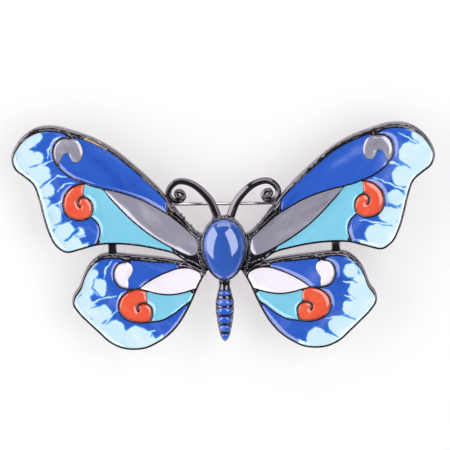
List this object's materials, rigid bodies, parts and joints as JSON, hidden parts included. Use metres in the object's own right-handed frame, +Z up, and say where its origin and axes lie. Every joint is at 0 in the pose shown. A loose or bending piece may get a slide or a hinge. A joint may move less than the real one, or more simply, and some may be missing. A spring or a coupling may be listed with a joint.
{
  "type": "brooch",
  "caption": "Butterfly brooch: black cast wings with walled cells of glossy enamel, a domed egg-shaped stone, a ringed abdomen, curled antennae and a hinged pin with a turning catch.",
  "frame": {"origin": "centre of the flat back face of the thorax plate, where the brooch lies against the cloth", "axes": "+X towards the right wing as seen from the front, +Z up as worn, the enamelled front faces -Y and the pin is at +Y"},
  "size_m": [0.074, 0.0095, 0.04],
  "materials": {
    "black_plate": "glossy black plated zinc casting, worn brighter along its edges",
    "deep_blue_enamel": "poured gloss enamel, domed",
    "turquoise_enamel": "poured gloss enamel, domed",
    "marbled_enamel": "poured gloss enamel, deep blue marbled with pale blue",
    "white_enamel": "poured gloss enamel, white with a lilac cast",
    "grey_enamel": "poured pearl grey enamel",
    "orange_enamel": "poured gloss enamel",
    "blue_stone": "polished domed resin stone",
    "steel": "bright drawn wire and stamped steel"
  },
  "bodies": {
    "brooch": {"upper_right_wing_frame": "black_plate", "upper_left_wing_frame": "black_plate", "lower_right_wing_frame": "black_plate", "lower_left_wing_frame": "black_plate", "bridge_left": "black_plate", "bridge_right": "black_plate", "antenna_left": "black_plate", "antenna_right": "black_plate", "thorax_setting": "black_plate", "abdomen": "black_plate", "upper_right_wing_long_blue": "deep_blue_enamel", "upper_right_wing_grey_comma": "grey_enamel", "upper_right_wing_grey_bar": "grey_enamel", "upper_right_wing_orange_comma": "orange_enamel", "upper_right_wing_turquoise": "turquoise_enamel", "upper_right_wing_marbled_margin": "marbled_enamel", "upper_left_wing_long_blue": "deep_blue_enamel", "upper_left_wing_grey_comma": "grey_enamel", "upper_left_wing_grey_bar": "grey_enamel", "upper_left_wing_orange_comma": "orange_enamel", "upper_left_wing_turquoise": "turquoise_enamel", "upper_left_wing_marbled_margin": "marbled_enamel", "lower_right_wing_top_blue": "deep_blue_enamel", "lower_right_wing_white_comma": "white_enamel", "lower_right_wing_white_leaf": "white_enamel", "lower_right_wing_orange_comma": "orange_enamel", "lower_right_wing_turquoise": "turquoise_enamel", "lower_right_wing_marbled_margin": "marbled_enamel", "lower_left_wing_top_blue": "deep_blue_enamel", "lower_left_wing_white_comma": "white_enamel", "lower_left_wing_white_leaf": "white_enamel", "lower_left_wing_orange_comma": "orange_enamel", "lower_left_wing_turquoise": "turquoise_enamel", "lower_left_wing_marbled_margin": "marbled_enamel", "abdomen_band_1": "deep_blue_enamel", "abdomen_band_2": "deep_blue_enamel", "abdomen_band_3": "deep_blue_enamel", "abdomen_band_4": "deep_blue_enamel", "abdomen_band_5": "deep_blue_enamel", "abdomen_band_6": "deep_blue_enamel", "thorax_stone": "blue_stone", "pin_hinge_base": "steel", "pin_hinge_rivet": "steel", "catch_housing": "steel"},
    "pin": {"pin_stem": "steel"},
    "lock": {"catch_lock": "steel"}
  },
  "joints": [
    {"name": "pin_swing", "type": "hinge", "parent": "brooch", "child": "pin", "pos_m": [-0.017, 0.0031, 0.0072], "axis": [0, 0, 1], "range_deg": [0, 75]},
    {"name": "lock_turn", "type": "hinge", "parent": "brooch", "child": "lock", "pos_m": [0.017, 0.0031, 0.0072], "axis": [-1, 0, 0], "range_deg": [0, 110]}
  ]
}
